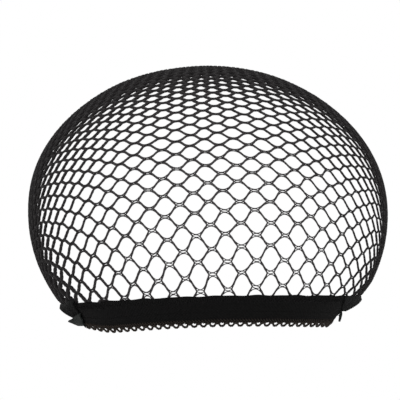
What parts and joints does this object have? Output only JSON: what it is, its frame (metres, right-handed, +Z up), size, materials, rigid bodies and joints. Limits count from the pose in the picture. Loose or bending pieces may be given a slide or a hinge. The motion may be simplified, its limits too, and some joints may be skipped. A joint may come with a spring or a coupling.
{
  "type": "net washing cap for long hair",
  "caption": "Stretchy net cap with a rounded crown, a wide elastic front with a looped edge, and a narrow gathered hem at the sides and back.",
  "frame": {"origin": "middle of the head opening, level with the lower edge of the front elastic", "axes": "+Z up towards the crown, -Y towards the front, +X towards the right of the picture"},
  "size_m": [0.2162, 0.2162, 0.1591],
  "materials": {
    "net_thread": "matt knitted thread, near black with a slight brown cast",
    "band_elastic": "matt black woven elastic with faint ribs along it",
    "picot_thread": "matt brown black thread loops",
    "hem_elastic": "matt black gathered elastic",
    "seam_cloth": "dark grey cloth end"
  },
  "bodies": {
    "root": {"net_dome": "net_thread", "front_band": "band_elastic", "picot_edge": "picot_thread", "back_hem": "hem_elastic", "seam_tail_left": "seam_cloth", "seam_tail_right": "seam_cloth"}
  },
  "joints": []
}
